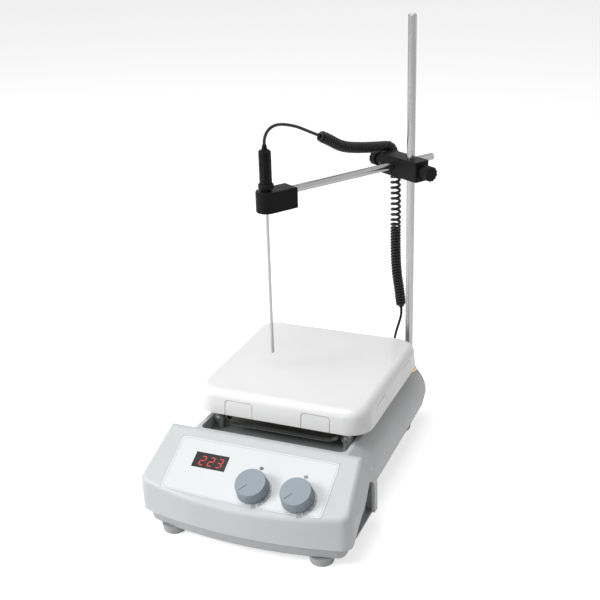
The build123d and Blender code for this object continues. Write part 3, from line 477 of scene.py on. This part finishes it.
def filmRing(setup, inset):
    half, low = setup["half"] - inset, setup["low"] + inset
    high, corner = setup["high"] - inset, setup["corner"] - inset
    ring = []
    for k in range(setup["edgeSteps"] + 1):  # the bowed lower edge, left to right
        x = -half + corner + (2 * half - 2 * corner) * k / setup["edgeSteps"]
        ring.append((x, low - setup["bow"] * (1 - (x / half) ** 2)))
    turns = [(half - corner, low + corner, -90), (half - corner, high - corner, 0),
             (corner - half, high - corner, 90), (corner - half, low + corner, 180)]
    for cx, cs, start in turns:
        for k in range(1, setup["cornerSteps"] + 1):
            a = math.radians(start + 90 / setup["cornerSteps"] * k)
            ring.append((cx + corner * math.cos(a), cs + corner * math.sin(a)))
    return ring


outer, inner = filmRing(film, 0), filmRing(film, film["line"])
count = len(outer)
strips = [[outer[i], outer[(i + 1) % count], inner[(i + 1) % count], inner[i]] for i in range(count)]
frameLine = meshFrom("filmLine", strips, panel["print"], ink, panel["film"])
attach(frameLine, "base")

# The scale around each knob: ticks that grow into a wedge, angles in degrees
dial = {
    "s": 0.0155,
    "heat": 0.0092,
    "stir": 0.0538,
    "inner": 0.0163,
    "outer": 0.0202,
    "from": 48,
    "to": -78,
    "ticks": 7,
    "tickFrom": 0.08,
    "tickTo": 0.92,
}
for name in ("heat", "stir"):
    rings = []
    sweep = (dial["to"] - dial["from"]) / dial["ticks"]
    for k in range(dial["ticks"]):
        first = math.radians(dial["from"] + sweep * (k + dial["tickFrom"]))
        last = math.radians(dial["from"] + sweep * (k + dial["tickTo"]))
        wide = dial["inner"] + (dial["outer"] - dial["inner"]) * (k + 1.0) / dial["ticks"]
        ring = [(dial["inner"], first), (wide, first), (wide, last), (dial["inner"], last)]
        rings.append([(dial[name] + r * math.cos(a), dial["s"] + r * math.sin(a)) for r, a in ring])
    wedge = meshFrom(name + "ScaleWedge", rings, panel["print"], ink, panel["film"])
    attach(wedge, "base")

# Pointer lines on the knobs' discs
pointer = {"lift": 0.0128, "from": 0.0035, "to": 0.0128, "half": 0.0004, "angle": -128, "thick": 0.00006}
for name in ("heat", "stir"):
    a = math.radians(pointer["angle"])
    along, across = (math.cos(a), math.sin(a)), (-math.sin(a), math.cos(a))
    corners = [(pointer["from"], -pointer["half"]), (pointer["to"], -pointer["half"]),
               (pointer["to"], pointer["half"]), (pointer["from"], pointer["half"])]
    ring = [(dial[name] + along[0] * r + across[0] * w, dial["s"] + along[1] * r + across[1] * w) for r, w in corners]
    mark = meshFrom(name + "Pointer", [ring], pointer["thick"], darkInk, pointer["lift"])
    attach(mark, name + "_control")
print("panel print and readout made")


# Bench, backdrop and light
studio = {"bench": 0.64, "world": 0.26, "backdrop": 1.0, "paper": 0.8, "size": 8}


def seenRays(n, link):  # 1 for the rays of the camera, of gloss and of glass
    rays = n.new("ShaderNodeLightPath")
    first, both = n.new("ShaderNodeMath"), n.new("ShaderNodeMath")
    first.operation = both.operation = "MAXIMUM"
    link(rays.outputs["Is Camera Ray"], first.inputs[0])
    link(rays.outputs["Is Glossy Ray"], first.inputs[1])
    link(first.outputs[0], both.inputs[0])
    link(rays.outputs["Is Transmission Ray"], both.inputs[1])
    return both.outputs[0]


def whiteWhereSeen(name, seen, lit):  # pale paper that looks white and keeps the shadow on it
    material = bpy.data.materials.new(name)
    material.use_nodes = True
    n, link = material.node_tree.nodes, material.node_tree.links.new
    base = n["Principled BSDF"]
    base.inputs["Base Color"].default_value = grey(lit)
    base.inputs["Roughness"].default_value = 1.0
    base.inputs["Specular IOR Level"].default_value = 0.0
    glowing = n.new("ShaderNodeEmission")
    amount = n.new("ShaderNodeMath")
    amount.operation = "MULTIPLY"
    amount.inputs[1].default_value = seen
    link(seenRays(n, link), amount.inputs[0])
    link(amount.outputs[0], glowing.inputs["Strength"])
    both = n.new("ShaderNodeAddShader")
    link(base.outputs[0], both.inputs[0])
    link(glowing.outputs[0], both.inputs[1])
    link(both.outputs[0], n["Material Output"].inputs["Surface"])
    return material


bpy.ops.mesh.primitive_plane_add(size=studio["size"], location=(0, 0, 0))
bench = bpy.context.object
bench.name = "bench"
bench.data.materials.append(whiteWhereSeen("benchPaper", studio["bench"], studio["paper"]))

world = bpy.data.worlds.new("studio")
scene.world = world
world.use_nodes = True
n, link = world.node_tree.nodes, world.node_tree.links.new
sky, bright = n["Background"], n.new("ShaderNodeBackground")
for back, strength in ((sky, studio["world"]), (bright, studio["backdrop"])):
    back.inputs["Color"].default_value = (1, 1, 1, 1)
    back.inputs["Strength"].default_value = strength
blendNode = n.new("ShaderNodeMixShader")
link(seenRays(n, link), blendNode.inputs["Fac"])
link(sky.outputs[0], blendNode.inputs[1])
link(bright.outputs[0], blendNode.inputs[2])
link(blendNode.outputs[0], n["World Output"].inputs["Surface"])

lamps = {
    "keyLight": {"place": (-1.35, -1.25, 1.15), "target": (0, -0.05, 0.08), "size": (0.8, 0.8), "power": 27},
    "topLight": {"place": (-0.25, -0.5, 1.9), "target": (0, -0.05, 0.1), "size": (1.1, 1.1), "power": 20},
    "sideStrip": {"place": (1.5, 0.6, 0.7), "target": (0.05, 0.1, 0.3), "size": (0.25, 1.2), "power": 1.0},
}


def softLight(name, place, target, size, power):
    bpy.ops.object.light_add(type="AREA", location=place)
    lamp = bpy.context.object
    lamp.name = name
    lamp.data.shape = "RECTANGLE"
    lamp.data.size, lamp.data.size_y = size
    lamp.data.energy = power
    lamp.rotation_euler = (Vector(target) - Vector(place)).to_track_quat("-Z", "Y").to_euler()


for name, lamp in lamps.items():
    softLight(name, **lamp)
print("bench and lights set")
